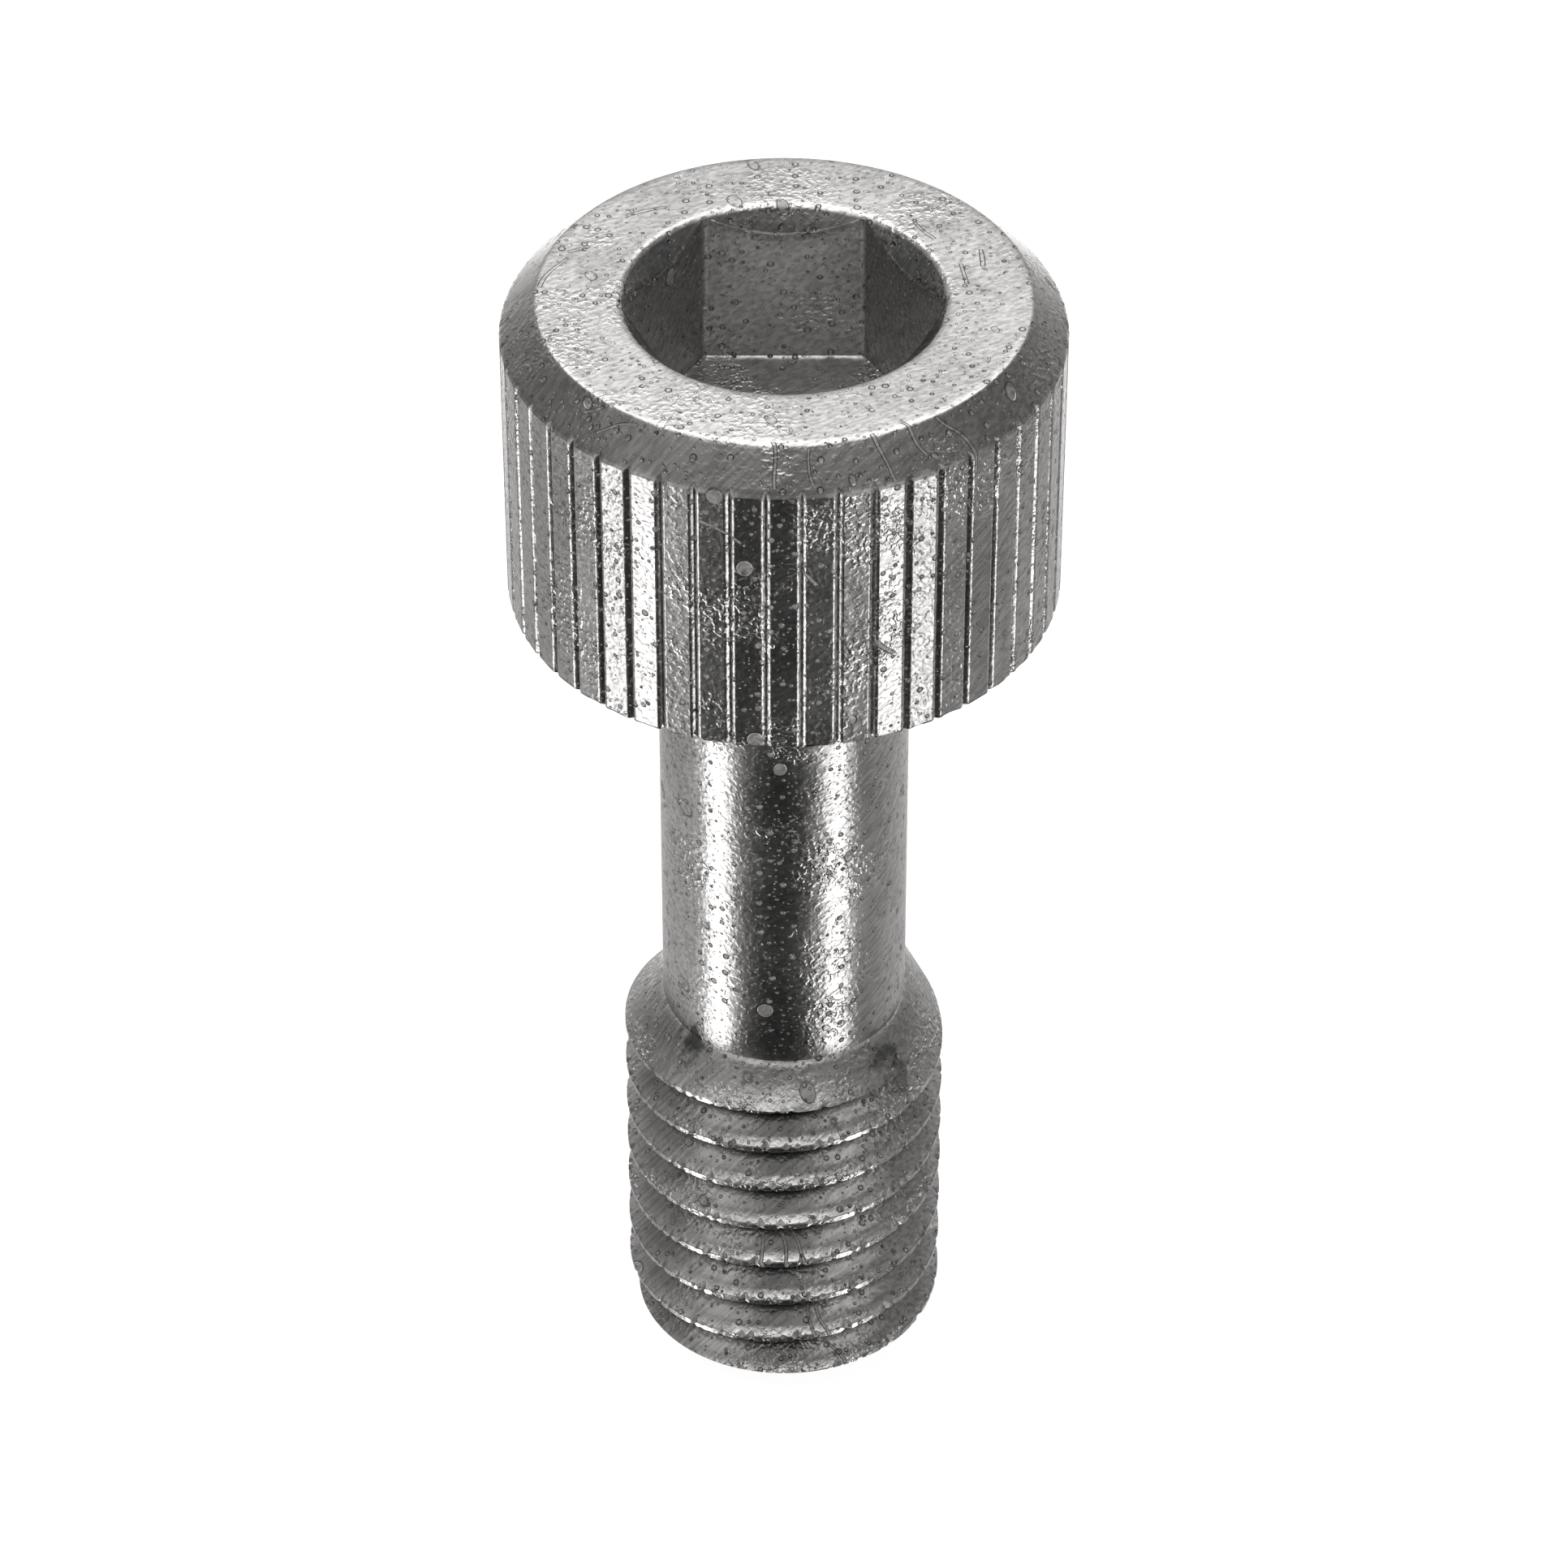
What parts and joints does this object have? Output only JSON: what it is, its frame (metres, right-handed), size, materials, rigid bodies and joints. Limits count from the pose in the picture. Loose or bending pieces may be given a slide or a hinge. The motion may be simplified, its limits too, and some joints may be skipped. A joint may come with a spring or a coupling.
{
  "type": "captive screw",
  "caption": "Captive socket-head screw: finely knurled cylindrical head with a hex socket, reduced plain shank and a short threaded end.",
  "frame": {"origin": "on the screw's axis, in the plane of the head's underside, which seats on the panel", "axes": "+Z along the axis, up through the head to its socket; the thread points down -Z; the socket's corners lie on the X axis"},
  "size_m": [0.008, 0.008, 0.0191],
  "materials": {
    "worn_steel": "worn bright steel: fine brushing, many small pits, scratches and dull patches"
  },
  "bodies": {
    "root": {"captive_screw": "worn_steel"}
  },
  "joints": []
}
